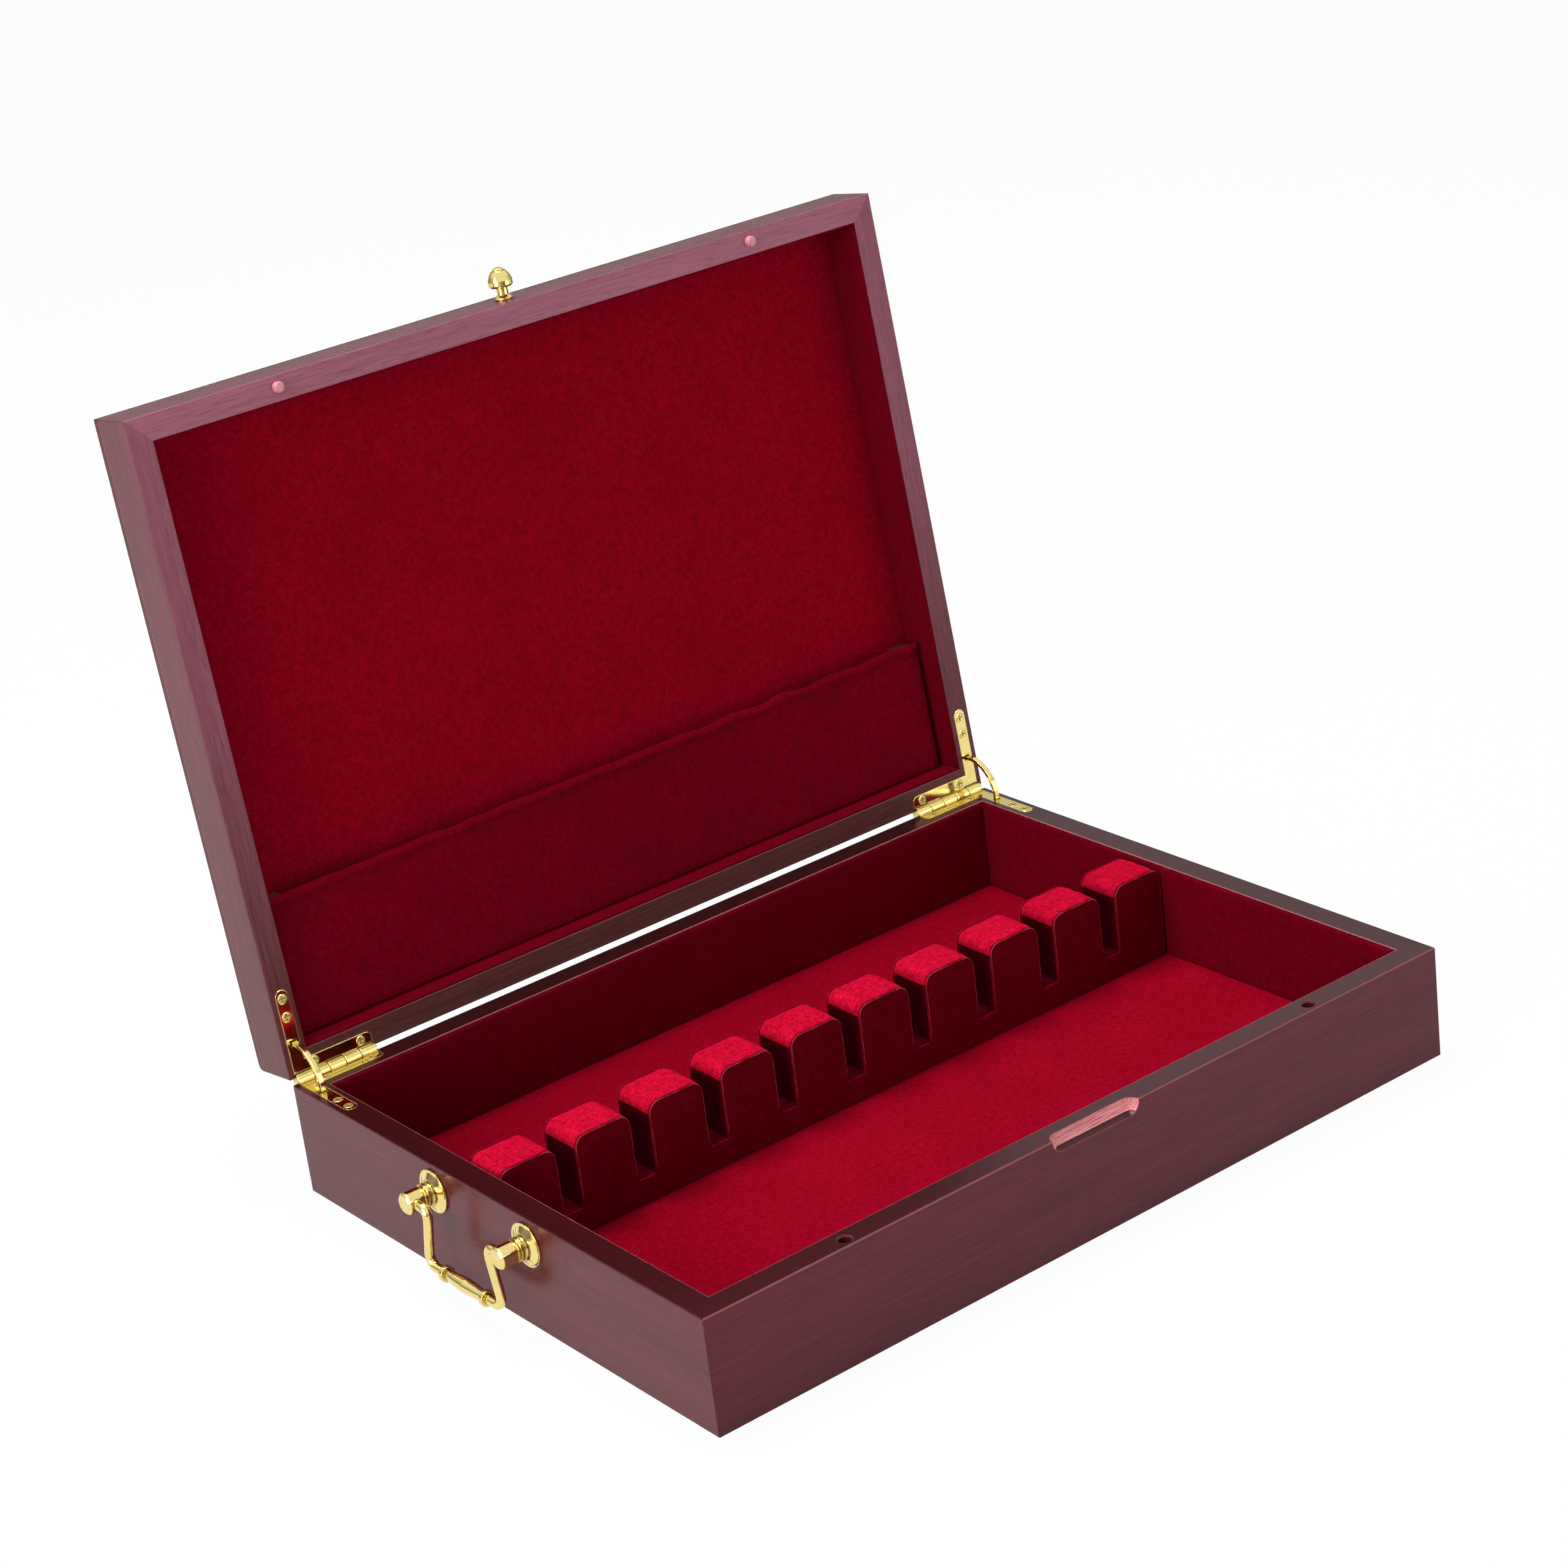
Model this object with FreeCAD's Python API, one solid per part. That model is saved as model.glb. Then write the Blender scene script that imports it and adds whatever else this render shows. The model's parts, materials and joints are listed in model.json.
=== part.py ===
import FreeCAD, Part
import math
import os

from FreeCAD import Vector

# Hinged wooden case, lined in velvet, standing open on its stays. Millimetres.
# The origin is the middle of the underside, X to the right, Y to the back, Z up.
# The lid is built closed and then turned about the hinge axis to the open stop.

# Case
case_width = 381.0
case_depth = 281.0
base_height = 49.6
lid_height = 25.8
base_wall = 11.4
lid_wall = 10.9
edge_round = 0.5
lid_back_round = 3.0
inner_edge_round = 0.5
bottom_thickness = 6.0
bottom_rebate = 5.0
lid_top_thickness = 3.7
rim_gap = 0.5
open_angle = 97.5

# Velvet linings
lining = 1.0
lining_drop = 0.8

# Slotted rack
rack_slots = 9
slot_width = 9.8
slot_floor = 11.2
rack_thickness = 22.4
rack_back_distance = 109.2
rack_drop = 0.3
rack_end_gap = 1.2
rack_velvet = 1.2
post_round = 5.0

# Pocket in the lid
pocket_length = 60.5
pocket_depth = 8.7
pocket_panel_thickness = 2.4
pocket_end_gap = 2.2
pocket_back_gap = 0.6
batten_width = 9.0
batten_setback = 1.0

# Quadrant hinges
hinge_offset = 1.2
barrel_radius = 2.85
barrel_relief = 0.3
pin_radius = 1.2
pin_clearance = 0.04
knuckle_count = 5
knuckle_gap = 0.3
leaf_thickness = 1.2
leaf_width = 6.0
leaf_side_inset = 2.6
leaf_side_length = 38.5
leaf_back_length = 38.4
leaf_back_reach = 7.0
leaf_corner = 2.5
leaf_joint = 0.15

# Arc stays
stay_radius = 16.2
stay_width = 2.2
stay_thickness = 1.6
stay_head_size = 3.0
stay_head_length = 1.8
stay_clearance = 0.35

# Hinge screws
screw_head_radius = 2.1
screw_head_depth = 0.8
screw_shank_radius = 0.9
screw_length = 9.0
screw_slot_width = 0.5
screw_slot_depth = 0.4
screw_end_inset = 4.0
screw_pitch = 8.0
screw_back_inset = 10.5
screw_edge_margin = 0.6

# Bail handles
handle_spacing = 64.2
handle_drop = 11.8
handle_shift = 4.4
rosette_radius = 9.2
rosette_thickness = 2.4
rosette_rim = 1.0
post_length = 14.5
post_foot_radius = 4.6
post_neck_radius = 4.0
post_ring_radius = 4.9
post_head_radius = 4.6
post_head_length = 7.2
bail_offset = 11.0
bail_wire_radius = 2.0
bail_drop = 25.6
bail_half_top = 21.4
bail_half_bottom = 26.0
bail_shoulder = 4.6
bail_corner = 4.5
bail_bend = 3.4
bail_end_depth = 4.2
bail_running_gap = 0.06
grip_half_length = 14.0
grip_radius = 3.1
grip_bead_radius = 3.3
grip_bead_width = 2.0
handle_screw_radius = 2.0
handle_screw_head_radius = 3.6
handle_screw_head_depth = 2.0
handle_screw_reach = 6.0

# Lid knob
knob_length = 13.7
knob_foot_radius = 4.0
knob_foot_height = 2.2
knob_neck_radius = 2.5
knob_neck_height = 5.4
knob_lip_radius = 4.4
knob_head_radius = 5.4
knob_head_height = 8.2
knob_brow_radius = 4.6
knob_ledge_radius = 3.2
knob_button_radius = 2.4
knob_button_height = 1.4
knob_screw_radius = 1.4
knob_screw_head_radius = 3.0
knob_screw_head_depth = 1.8
knob_screw_reach = 5.0

# Locating pegs and their sockets
peg_radius = 2.25
peg_spacing = 242.0
peg_inset = 4.9
peg_proud = 2.6
peg_depth = 8.0
peg_chamfer = 0.5
socket_clearance = 0.4
socket_depth = 4.0
socket_chamfer = 0.5

# Finger notch in the front rim
notch_length = 45.0
notch_depth = 4.8
notch_height = 5.8
notch_round = 5.2

# Derived places
half_width = case_width / 2
half_depth = case_depth / 2
lid_rim = base_height + rim_gap
lid_top = lid_rim + lid_height
lid_panel_under = lid_top - lid_top_thickness
hinge_y = half_depth + hinge_offset
hinge_z = base_height + rim_gap / 2
hinge_axis = Vector(0, hinge_y, hinge_z)
floor_top = bottom_thickness + lining
rack_top = base_height - rack_drop
base_inner_x = half_width - base_wall
base_inner_y = half_depth - base_wall
lid_inner_x = half_width - lid_wall
lid_inner_y = half_depth - lid_wall
handle_z = base_height - handle_drop
leaf_outer_x = half_width - leaf_side_inset
leaf_middle_x = leaf_outer_x - leaf_width / 2
leaf_inner_end_x = leaf_outer_x - leaf_back_length
leaf_end_y = half_depth - leaf_side_length
leaf_back_y = half_depth - leaf_back_reach
overshoot = 1.0
X_AXIS = Vector(1, 0, 0)
Y_AXIS = Vector(0, 1, 0)
Z_AXIS = Vector(0, 0, 1)
SIDES = {"left": -1, "right": 1}
HANDLE_SIDES = {"left": -1}


def box(x0, x1, y0, y1, z0, z1):
    corner = Vector(min(x0, x1), min(y0, y1), min(z0, z1))
    return Part.makeBox(abs(x1 - x0), abs(y1 - y0), abs(z1 - z0), corner)


def cylinder(radius, length, start, direction):
    return Part.makeCylinder(radius, length, start, direction)


def prism(points, z0, z1):
    corners = [Vector(x, y, z0) for x, y in points]
    face = Part.Face(Part.makePolygon(corners + corners[:1]))
    return face.extrude(Vector(0, 0, z1 - z0))


def joined(shapes):
    whole = shapes[0]
    for shape in shapes[1:]:
        whole = whole.fuse(shape)
    return whole.removeSplitter()


def without(shape, cutters):
    for cutter in cutters:
        shape = shape.cut(cutter)
    return shape


def save(shape, name):
    shape.exportStep("parts/" + name + ".step")


def opened(shape):
    turned = shape.copy()
    turned.rotate(hinge_axis, X_AXIS, -open_angle)
    return turned


def save_lid(shape, name):
    save(opened(shape), name)


def turned_profile(points, origin, direction):
    """Solid of revolution from (distance along the axis, radius) points, set on an axis."""
    corners = [Vector(radius, 0, along) for along, radius in points]
    corners = [Vector(0, 0, points[0][0])] + corners + [Vector(0, 0, points[-1][0])]
    face = Part.Face(Part.makePolygon(corners + corners[:1]))
    solid = face.revolve(Vector(0, 0, 0), Z_AXIS, 360)
    solid.Placement = FreeCAD.Placement(origin, FreeCAD.Rotation(Z_AXIS, direction))
    return solid


def countersunk_screw(head_radius, head_depth, shank_radius, length, top, direction):
    """Flat-headed screw whose head face is at top and whose shank runs along direction."""
    points = [(0, head_radius), (head_depth, shank_radius), (length, shank_radius)]
    return turned_profile(points, top, direction)


def mitre_sectors(wall, z0, z1):
    """Four blocks that divide a rectangular frame along its corner diagonals."""
    far = overshoot
    near = wall + overshoot
    front = [(-half_width - far, -half_depth - far), (half_width + far, -half_depth - far),
             (half_width - near, -half_depth + near), (-half_width + near, -half_depth + near)]
    left = [(-half_width - far, -half_depth - far), (-half_width + near, -half_depth + near),
            (-half_width + near, half_depth - near), (-half_width - far, half_depth + far)]
    back = [(x, -y) for x, y in reversed(front)]
    right = [(-x, y) for x, y in reversed(left)]
    low = z0 - overshoot
    high = z1 + overshoot
    names = ("front", "back", "left", "right")
    return {name: prism(points, low, high) for name, points in zip(names, (front, back, left, right))}


def rounded_inner_edges(frame, inner_x, inner_y, z):
    """Eases the four inner edges of a frame's opening at height z."""
    chosen = []
    for edge in frame.Edges:
        limits = edge.BoundBox
        flat = abs(limits.ZMin - z) < 1e-4 and abs(limits.ZMax - z) < 1e-4
        inside = max(abs(limits.XMin), abs(limits.XMax)) < inner_x + 1e-3
        if flat and inside and max(abs(limits.YMin), abs(limits.YMax)) < inner_y + 1e-3:
            chosen.append(edge)
    return frame.makeFillet(inner_edge_round, chosen)


# Hinge pieces, on one side of the case. The sign is -1 on the left and 1 on the right.

def arc_bar(x, half, inner, outer, angle_from, angle_to):
    """Bar bent about the hinge axis. Angle 0 points from the axis to the front, 90 points up."""
    points = [Vector(x - half, hinge_y - inner, hinge_z), Vector(x + half, hinge_y - inner, hinge_z),
              Vector(x + half, hinge_y - outer, hinge_z), Vector(x - half, hinge_y - outer, hinge_z)]
    face = Part.Face(Part.makePolygon(points + points[:1]))
    face.rotate(hinge_axis, X_AXIS, -angle_to)
    return face.revolve(hinge_axis, X_AXIS, angle_to - angle_from)


def arc_angle(length):
    return math.degrees(length / stay_radius)


plate_reach = leaf_thickness + rim_gap / 2
head_inner = stay_radius - stay_head_size / 2
head_outer = stay_radius + stay_head_size / 2
head_start = math.degrees(math.asin(plate_reach / head_inner)) + arc_angle(stay_clearance)
head_end = head_start + arc_angle(stay_head_length)
mortise_end = head_end + open_angle / 2 + arc_angle(stay_clearance)
mortise_mouth = arc_angle(overshoot)


def stay(sign):
    x = sign * leaf_middle_x
    half = stay_width / 2
    inner = stay_radius - stay_thickness / 2
    outer = stay_radius + stay_thickness / 2
    bar = arc_bar(x, half, inner, outer, -head_end, open_angle + head_end)
    low_head = arc_bar(x, half, head_inner, head_outer, -head_end, -head_start)
    high_head = arc_bar(x, half, head_inner, head_outer, open_angle + head_start, open_angle + head_end)
    return joined([bar, low_head, high_head])


def stay_slot(sign):
    inner = stay_radius - stay_thickness / 2 - stay_clearance
    outer = stay_radius + stay_thickness / 2 + stay_clearance
    reach = 2 * head_end
    return arc_bar(sign * leaf_middle_x, stay_width / 2 + stay_clearance, inner, outer, -reach, reach)


def stay_mortise(sign, angle_from, angle_to):
    inner = head_inner - stay_clearance
    outer = head_outer + stay_clearance
    return arc_bar(sign * leaf_middle_x, stay_width / 2 + stay_clearance, inner, outer, angle_from, angle_to)


def leaf_plate(sign, z0, z1, grow):
    """L-shaped leaf let into the rim: a side leg with a round end and a back leg with an eased corner."""
    leg_half = leaf_width / 2 + grow
    round_y = leaf_end_y + leaf_width / 2
    corner = leaf_corner + grow
    x_out = sign * (leaf_outer_x + grow)
    x_in = sign * (leaf_middle_x - leg_half)
    x_end = sign * (leaf_inner_end_x - grow)
    x_corner = sign * (leaf_inner_end_x - grow + corner)
    y_front = leaf_back_y - grow
    end_point = Vector(sign * leaf_middle_x, round_y, z0)
    corner_point = Vector(x_corner, y_front + corner, z0)
    plate = joined([box(x_in, x_out, round_y, half_depth, z0, z1),
                    cylinder(leg_half, z1 - z0, end_point, Z_AXIS),
                    box(x_corner, x_out, y_front, half_depth, z0, z1),
                    box(x_end, x_corner, y_front + corner, half_depth, z0, z1),
                    cylinder(corner, z1 - z0, corner_point, Z_AXIS)])
    return plate.common(box(-half_width, half_width, -half_depth, half_depth, z0, z1))


def screw_places(sign):
    """Screw centres of one leaf, in plan."""
    side_x = sign * leaf_middle_x
    first_y = leaf_end_y + screw_end_inset
    back_y = leaf_back_y + screw_head_radius + screw_edge_margin
    return [(side_x, first_y), (side_x, first_y + screw_pitch),
            (sign * (leaf_outer_x - screw_back_inset), back_y),
            (sign * (leaf_inner_end_x + screw_back_inset / 2), back_y)]


def hinge_screws(face_z, direction):
    screws = []
    for sign in SIDES.values():
        for x, y in screw_places(sign):
            screw = countersunk_screw(screw_head_radius, screw_head_depth, screw_shank_radius, screw_length,
                                      Vector(x, y, face_z), Vector(0, 0, direction))
            screws.append(screw)
    return screws


def cross_slotted(screw, face_z, direction):
    """Cuts the cross recess in a screw's head."""
    middle = screw.BoundBox.Center
    reach = screw_head_radius * 0.7
    half = screw_slot_width / 2
    bottom = face_z + direction * screw_slot_depth
    along_x = box(middle.x - reach, middle.x + reach, middle.y - half, middle.y + half, face_z, bottom)
    along_y = box(middle.x - half, middle.x + half, middle.y - reach, middle.y + reach, face_z, bottom)
    return without(screw, [along_x, along_y])


knuckle_length = (leaf_back_length - knuckle_gap * (knuckle_count - 1)) / knuckle_count
knuckle_step = knuckle_length + knuckle_gap


def knuckles(sign, first, z0, z1):
    """Every second knuckle of a barrel, with the tongue that joins it to its leaf."""
    shapes = []
    for index in range(first, knuckle_count, 2):
        start = leaf_inner_end_x + index * knuckle_step
        x0 = min(sign * start, sign * (start + knuckle_length))
        roll = cylinder(barrel_radius, knuckle_length, Vector(x0, hinge_y, hinge_z), X_AXIS)
        tongue = box(x0, x0 + knuckle_length, hinge_y - barrel_radius - 2 * barrel_relief, hinge_y, z0, z1)
        shapes += [roll, tongue]
    return shapes


def barrel_room(sign):
    """Space for the whole barrel, sunk a little into the leaves and the walls."""
    x0 = min(sign * leaf_inner_end_x, sign * leaf_outer_x) - barrel_relief
    start = Vector(x0, hinge_y, hinge_z)
    return cylinder(barrel_radius + barrel_relief, leaf_back_length + 2 * barrel_relief, start, X_AXIS)


def hinge_leaf(sign, first_knuckle, z0, z1, screws):
    plate = leaf_plate(sign, z0, z1, 0).cut(barrel_room(sign))
    leaf = joined([plate] + knuckles(sign, first_knuckle, z0, z1))
    bore_start = Vector(-half_width, hinge_y, hinge_z)
    bore = cylinder(pin_radius + pin_clearance, case_width, bore_start, X_AXIS)
    return without(leaf, screws + [stay_slot(sign), bore])


def hinge_pin(sign):
    x0 = min(sign * leaf_inner_end_x, sign * leaf_outer_x)
    return cylinder(pin_radius, leaf_back_length, Vector(x0, hinge_y, hinge_z), X_AXIS)


base_screws = hinge_screws(base_height, -1)
lid_screws = hinge_screws(lid_rim, 1)
base_leaf_low = base_height - leaf_thickness
lid_leaf_high = lid_rim + leaf_thickness

# Bail handles

handle_posts_y = [handle_shift - handle_spacing / 2, handle_shift + handle_spacing / 2]


def handle_screw(sign, y):
    top = Vector(sign * base_inner_x, y, handle_z)
    length = base_wall + rosette_thickness + handle_screw_reach
    return countersunk_screw(handle_screw_head_radius, handle_screw_head_depth, handle_screw_radius, length,
                             top, Vector(sign, 0, 0))


def rosette(sign, y):
    step = rosette_thickness / 2
    points = [(0, rosette_radius), (rosette_rim, rosette_radius), (rosette_rim, rosette_radius - rosette_rim),
              (step + rosette_rim / 2, (rosette_radius + post_foot_radius) / 2),
              (rosette_thickness, post_foot_radius + rosette_rim), (rosette_thickness, post_foot_radius)]
    return turned_profile(points, Vector(sign * half_width, y, handle_z), Vector(sign, 0, 0))


def post(sign, y):
    foot = rosette_thickness
    head = post_length - post_head_length
    middle = (foot + head) / 2
    ease = post_head_radius / 6
    points = [(foot, post_foot_radius), (foot + ease, post_foot_radius), (middle - ease, post_neck_radius),
              (middle - ease, post_ring_radius), (middle + ease, post_ring_radius),
              (middle + ease, post_neck_radius), (head, post_head_radius),
              (post_length - ease, post_head_radius), (post_length, post_head_radius - ease)]
    return turned_profile(points, Vector(sign * half_width, y, handle_z), Vector(sign, 0, 0))


def tangent_path(points, radii):
    """Straight runs joined by tangent arcs, with one radius for each inner point."""
    edges = []
    start = points[0]
    for before, corner, after, radius in zip(points, points[1:], points[2:], radii):
        back = (before - corner).normalize()
        ahead = (after - corner).normalize()
        half_turn = back.getAngle(ahead) / 2
        trim = radius / math.tan(half_turn)
        arc_in = corner + back * trim
        arc_out = corner + ahead * trim
        bisector = (back + ahead).normalize()
        middle = corner + bisector * (radius / math.sin(half_turn) - radius)
        edges.append(Part.LineSegment(start, arc_in).toShape())
        edges.append(Part.Arc(arc_in, middle, arc_out).toShape())
        start = arc_out
    edges.append(Part.LineSegment(start, points[-1]).toShape())
    return Part.Wire(edges)


def bail_end_y():
    return handle_spacing / 2 - post_head_radius + bail_end_depth


def bail(sign):
    """Bent wire bail hanging from its two posts, with a swelled grip between two beads."""
    x = sign * (half_width + bail_offset)
    bottom = handle_z - bail_drop
    half_outline = [(bail_end_y(), handle_z), (bail_half_top, handle_z),
                    (bail_half_top, handle_z - bail_shoulder), (bail_half_bottom, bottom)]
    outline = half_outline + [(-y, z) for y, z in reversed(half_outline)]
    points = [Vector(x, handle_shift + y, z) for y, z in outline]
    radii = [bail_bend, bail_bend, bail_corner, bail_corner, bail_bend, bail_bend]
    path = tangent_path(points, radii)
    ring = Part.Wire(Part.makeCircle(bail_wire_radius, points[0], Y_AXIS))
    wire = path.makePipeShell([ring], True, False)
    bead = grip_half_length + grip_bead_width / 2
    taper = grip_half_length - grip_bead_width / 2
    half_grip = [(bead, bail_wire_radius), (bead, grip_bead_radius), (taper, grip_bead_radius),
                 (taper, bail_wire_radius), (taper / 2, (bail_wire_radius + 2 * grip_radius) / 3)]
    profile = [(-along, radius) for along, radius in half_grip] + [(0, grip_radius)]
    profile += list(reversed(half_grip))
    grip = turned_profile(profile, Vector(x, handle_shift, bottom), Y_AXIS)
    return joined([wire, grip])


def bail_bores(sign):
    """Blind bores in the facing sides of the two posts."""
    x = sign * (half_width + bail_offset)
    radius = bail_wire_radius + bail_running_gap
    reach = bail_end_y() + bail_running_gap
    start = Vector(x, handle_shift - reach, handle_z)
    return cylinder(radius, 2 * reach, start, Y_AXIS)


# Base

def finger_notch():
    """Cove cut along the front rim by a round-nosed cutter, so that both its ends are round."""
    half = notch_length / 2 - notch_round
    y = -half_depth + notch_depth - notch_round
    z = base_height - notch_height + notch_round
    ends = [Part.makeSphere(notch_round, Vector(x, y, z)) for x in (-half, half)]
    return joined([cylinder(notch_round, 2 * half, Vector(-half, y, z), X_AXIS)] + ends)


def peg_sockets():
    sockets = []
    radius = peg_radius + socket_clearance
    wide = radius + socket_chamfer
    points = [(-overshoot, wide), (0, wide), (socket_chamfer, radius), (socket_depth, radius)]
    for sign in SIDES.values():
        mouth = Vector(sign * peg_spacing / 2, -half_depth + peg_inset, base_height)
        sockets.append(turned_profile(points, mouth, Vector(0, 0, -1)))
    return sockets


def base_frame():
    outer = box(-half_width, half_width, -half_depth, half_depth, 0, base_height)
    frame = outer.makeFillet(edge_round, outer.Edges)
    frame = frame.cut(box(-base_inner_x, base_inner_x, -base_inner_y, base_inner_y,
                          -overshoot, base_height + overshoot))
    frame = rounded_inner_edges(frame, base_inner_x, base_inner_y, base_height)
    cutters = [bottom_panel(), finger_notch()] + peg_sockets() + base_screws
    for sign in SIDES.values():
        cutters.append(leaf_plate(sign, base_leaf_low, base_height + overshoot, leaf_joint))
        cutters.append(stay_mortise(sign, -mortise_end, mortise_mouth))
        cutters.append(barrel_room(sign))
    for sign in HANDLE_SIDES.values():
        cutters += [handle_screw(sign, y) for y in handle_posts_y]
    return without(frame, cutters)


def bottom_panel():
    x = base_inner_x + bottom_rebate
    y = base_inner_y + bottom_rebate
    return box(-x, x, -y, y, 0, bottom_thickness)


def wall_linings(inner_x, inner_y, z0, z1):
    """Lining strips on a frame's four inner faces, the side ones between the other two."""
    y_face = inner_y - lining
    x_face = inner_x - lining
    return {"front": box(-inner_x, inner_x, -inner_y, -y_face, z0, z1),
            "back": box(-inner_x, inner_x, y_face, inner_y, z0, z1),
            "left": box(-inner_x, -x_face, -y_face, y_face, z0, z1),
            "right": box(x_face, inner_x, -y_face, y_face, z0, z1)}


def make_base():
    sectors = mitre_sectors(base_wall, 0, base_height)
    frame = base_frame()
    for name, sector in sectors.items():
        save(frame.common(sector), "base_" + name + "_wall")
    save(bottom_panel(), "base_bottom_panel")
    save(box(-base_inner_x, base_inner_x, -base_inner_y, base_inner_y, bottom_thickness, floor_top),
         "base_floor_lining")
    linings = wall_linings(base_inner_x, base_inner_y, floor_top, base_height - lining_drop)
    for name, strip in linings.items():
        save(strip, "base_" + name + "_lining")


# Rack

def comb_outline(inset):
    """Front view of the rack: posts with rounded tops above a rail, drawn in by an inset."""
    length = 2 * (base_inner_x - lining - rack_end_gap)
    post_width = (length - rack_slots * slot_width) / (rack_slots + 1)
    pitch = post_width + slot_width
    top = rack_top - inset
    floor = floor_top + slot_floor - inset
    radius = post_round - inset
    bend = radius * (1 - math.sqrt(0.5))
    edges = []
    last = Vector(-length / 2 + inset, 0, floor_top)
    for index in range(rack_slots + 1):
        x0 = -length / 2 + index * pitch + inset
        x1 = x0 + post_width - 2 * inset
        low = floor if index < rack_slots else floor_top
        rise = [Vector(x0, 0, top - radius), Vector(x0 + bend, 0, top - bend), Vector(x0 + radius, 0, top)]
        fall = [Vector(x1 - radius, 0, top), Vector(x1 - bend, 0, top - bend), Vector(x1, 0, top - radius)]
        edges.append(Part.LineSegment(last, rise[0]).toShape())
        edges.append(Part.Arc(*rise).toShape())
        edges.append(Part.LineSegment(rise[2], fall[0]).toShape())
        edges.append(Part.Arc(*fall).toShape())
        last = Vector(x1, 0, low)
        edges.append(Part.LineSegment(fall[2], last).toShape())
        if index < rack_slots:
            step = Vector(x0 + pitch, 0, low)
            edges.append(Part.LineSegment(last, step).toShape())
            last = step
    edges.append(Part.LineSegment(last, Vector(-length / 2 + inset, 0, floor_top)).toShape())
    return Part.Face(Part.Wire(edges))


def comb(inset, y0, y1):
    solid = comb_outline(inset).extrude(Vector(0, y1 - y0, 0))
    solid.translate(Vector(0, y0, 0))
    return solid


def make_rack():
    back = half_depth - rack_back_distance
    front = back - rack_thickness
    core_front = front + rack_velvet
    core_back = back - rack_velvet
    core = comb(rack_velvet, core_front, core_back)
    save(core, "rack_core")
    save(comb(0, core_front, core_back).cut(core), "rack_top_cover")
    save(comb(0, front, core_front), "rack_front_facing")
    save(comb(0, core_back, back), "rack_back_facing")


# Hinges, stays and handles

def make_hinges():
    for side, sign in SIDES.items():
        save(hinge_leaf(sign, 0, base_leaf_low, base_height, base_screws), side + "_hinge_base_leaf")
        save_lid(hinge_leaf(sign, 1, lid_rim, lid_leaf_high, lid_screws), side + "_hinge_lid_leaf")
        save(hinge_pin(sign), side + "_hinge_pin")
        save(stay(sign), side + "_stay")
    save(Part.makeCompound([cross_slotted(screw, base_height, -1) for screw in base_screws]),
         "base_hinge_screws")
    save_lid(Part.makeCompound([cross_slotted(screw, lid_rim, 1) for screw in lid_screws]),
             "lid_hinge_screws")


def make_handles():
    screws = []
    for side, sign in HANDLE_SIDES.items():
        own = [handle_screw(sign, y) for y in handle_posts_y]
        screws += own
        rosettes = [without(rosette(sign, y), own) for y in handle_posts_y]
        posts = [without(post(sign, y), own + [bail_bores(sign)]) for y in handle_posts_y]
        save(Part.makeCompound(rosettes), side + "_handle_rosettes")
        save(Part.makeCompound(posts), side + "_handle_posts")
        save(bail(sign), side + "_bail")
    save(Part.makeCompound(screws), "handle_screws")


# Lid, built closed

def lid_block():
    """Outer form of the whole lid, with its back top edge more rounded than the rest."""
    block = box(-half_width, half_width, -half_depth, half_depth, lid_rim, lid_top)
    back_top = [edge for edge in block.Edges
                if edge.BoundBox.YMin > half_depth - 1e-3 and edge.BoundBox.ZMin > lid_top - 1e-3]
    block = block.makeFillet(lid_back_round, back_top)
    sharp = []
    for edge in block.Edges:
        limits = edge.BoundBox
        seam_above = limits.ZMin > lid_top - 1e-3 and limits.YMin > half_depth - lid_back_round - 1e-3
        seam_behind = limits.YMin > half_depth - 1e-3 and limits.ZMin > lid_top - lid_back_round - 1e-3
        if not (seam_above or seam_behind):
            sharp.append(edge)
    return block.makeFillet(edge_round, sharp)


def knob_screw():
    top = Vector(0, -lid_inner_y, (lid_rim + lid_top) / 2)
    length = lid_wall + knob_screw_reach
    return countersunk_screw(knob_screw_head_radius, knob_screw_head_depth, knob_screw_radius, length,
                             top, Vector(0, -1, 0))


def knob():
    """Turned knob: foot, waisted neck, domed head with a ledge and a small button."""
    crown = knob_length - knob_button_height
    under = knob_head_height - knob_neck_height
    rise = crown - knob_head_height
    points = [(0, knob_foot_radius), (knob_foot_height / 3, knob_foot_radius),
              (knob_foot_height, knob_neck_radius), (knob_neck_height, knob_neck_radius),
              (knob_neck_height, knob_lip_radius), (knob_neck_height + under / 3, knob_head_radius),
              (knob_head_height, knob_head_radius), (knob_head_height + rise / 2, knob_brow_radius),
              (crown, knob_ledge_radius), (crown, knob_button_radius),
              (knob_length - knob_button_height / 2, knob_button_radius),
              (knob_length, knob_button_radius / 2)]
    place = Vector(0, -half_depth, (lid_rim + lid_top) / 2)
    return turned_profile(points, place, Vector(0, -1, 0)).cut(knob_screw())


def peg(sign, length_above):
    """Round peg let into the lid's front rail, with its proud end chamfered."""
    points = [(-peg_proud, peg_radius - peg_chamfer), (peg_chamfer - peg_proud, peg_radius),
              (length_above, peg_radius)]
    place = Vector(sign * peg_spacing / 2, -half_depth + peg_inset, lid_rim)
    return turned_profile(points, place, Z_AXIS)


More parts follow.
